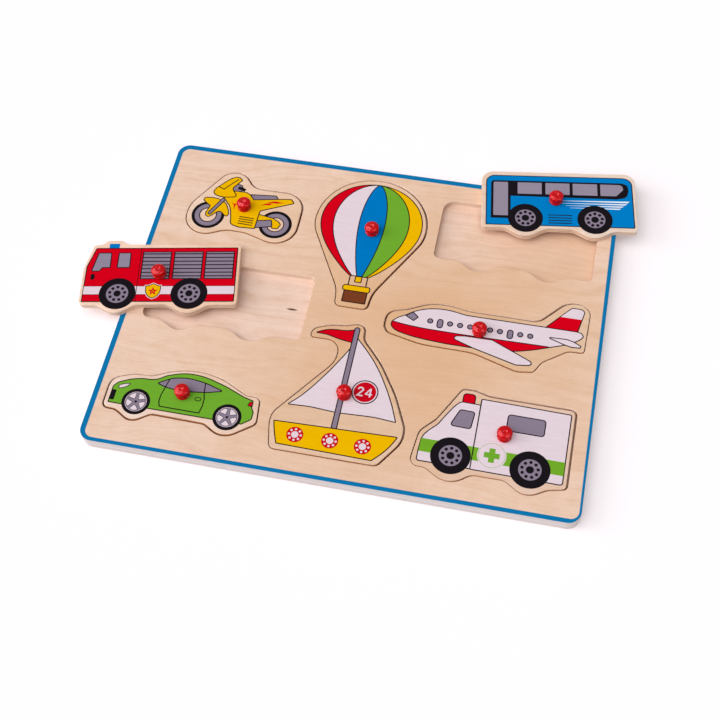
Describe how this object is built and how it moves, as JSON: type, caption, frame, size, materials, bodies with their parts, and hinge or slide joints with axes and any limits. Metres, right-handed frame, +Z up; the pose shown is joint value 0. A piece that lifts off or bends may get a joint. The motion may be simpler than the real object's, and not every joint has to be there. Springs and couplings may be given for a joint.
{
  "type": "peg puzzle",
  "caption": "Wooden peg puzzle: a recessed plywood tray with printed vehicle boards that lift out by red knobs, some lying loose on the tray.",
  "frame": {"origin": "centre of the tray's underside", "axes": "+X along the tray's 300 mm length to the right, +Y across its 230 mm width away from the player, +Z up"},
  "size_m": [0.3449, 0.2512, 0.02],
  "materials": {
    "tray_ply": "sanded and clear lacquered birch plywood, satin",
    "board_ply": "sanded and clear lacquered birch plywood, satin",
    "knob_plastic": "moulded, glossy",
    "printed_ink": "screen-printed ink in several colours, satin"
  },
  "bodies": {
    "tray": {"base_board": "tray_ply", "frame_board": "tray_ply"},
    "motorcycle": {"motorcycle_board": "board_ply", "motorcycle_knob": "knob_plastic"},
    "balloon": {"balloon_board": "board_ply", "balloon_knob": "knob_plastic"},
    "bus": {"bus_board": "board_ply", "bus_knob": "knob_plastic"},
    "fire_engine": {"fire_engine_board": "board_ply", "fire_engine_knob": "knob_plastic"},
    "aeroplane": {"aeroplane_board": "board_ply", "aeroplane_knob": "knob_plastic"},
    "car": {"car_board": "board_ply", "car_knob": "knob_plastic"},
    "sailboat": {"sailboat_board": "board_ply", "sailboat_knob": "knob_plastic"},
    "ambulance": {"ambulance_board": "board_ply", "ambulance_knob": "knob_plastic"}
  },
  "joints": [
    {"name": "motorcycle_lift", "type": "slide", "parent": "tray", "child": "motorcycle", "axis": [0, 0, 1], "range_m": [0, 0.03]},
    {"name": "balloon_lift", "type": "slide", "parent": "tray", "child": "balloon", "axis": [0, 0, 1], "range_m": [0, 0.03]},
    {"name": "bus_lift", "type": "slide", "parent": "tray", "child": "bus", "axis": [0, 0, 1], "range_m": [0, 0.03]},
    {"name": "fire_engine_lift", "type": "slide", "parent": "tray", "child": "fire_engine", "axis": [0, 0, 1], "range_m": [0, 0.03]},
    {"name": "aeroplane_lift", "type": "slide", "parent": "tray", "child": "aeroplane", "axis": [0, 0, 1], "range_m": [0, 0.03]},
    {"name": "car_lift", "type": "slide", "parent": "tray", "child": "car", "axis": [0, 0, 1], "range_m": [0, 0.03]},
    {"name": "sailboat_lift", "type": "slide", "parent": "tray", "child": "sailboat", "axis": [0, 0, 1], "range_m": [0, 0.03]},
    {"name": "ambulance_lift", "type": "slide", "parent": "tray", "child": "ambulance", "axis": [0, 0, 1], "range_m": [0, 0.03]}
  ]
}
